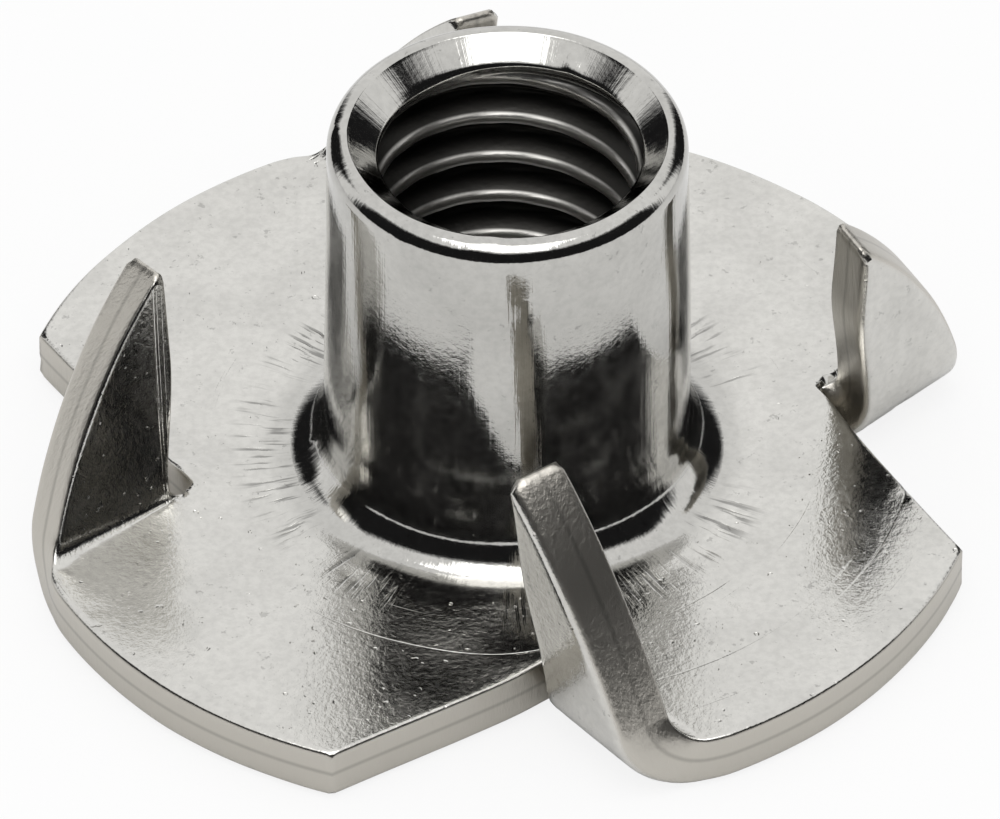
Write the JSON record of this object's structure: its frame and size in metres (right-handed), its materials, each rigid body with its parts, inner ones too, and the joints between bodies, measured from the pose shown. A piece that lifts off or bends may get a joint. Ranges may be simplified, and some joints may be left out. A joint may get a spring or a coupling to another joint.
{
  "type": "tee nut",
  "caption": "Pressed steel tee nut: a round prong-edged flange with a drawn, threaded barrel, driven into wood to hold a machine screw.",
  "frame": {"origin": "on the barrel's axis, at the underside of the flange", "axes": "+Z along the barrel towards its mouth; X and Y lie in the flange, the first fold line turned -57.5 degrees from +X"},
  "size_m": [0.0186, 0.0186, 0.009],
  "materials": {
    "zinc_steel": "bright zinc plate over pressed steel, semi-gloss"
  },
  "bodies": {
    "root": {"tee_nut": "zinc_steel"}
  },
  "joints": []
}
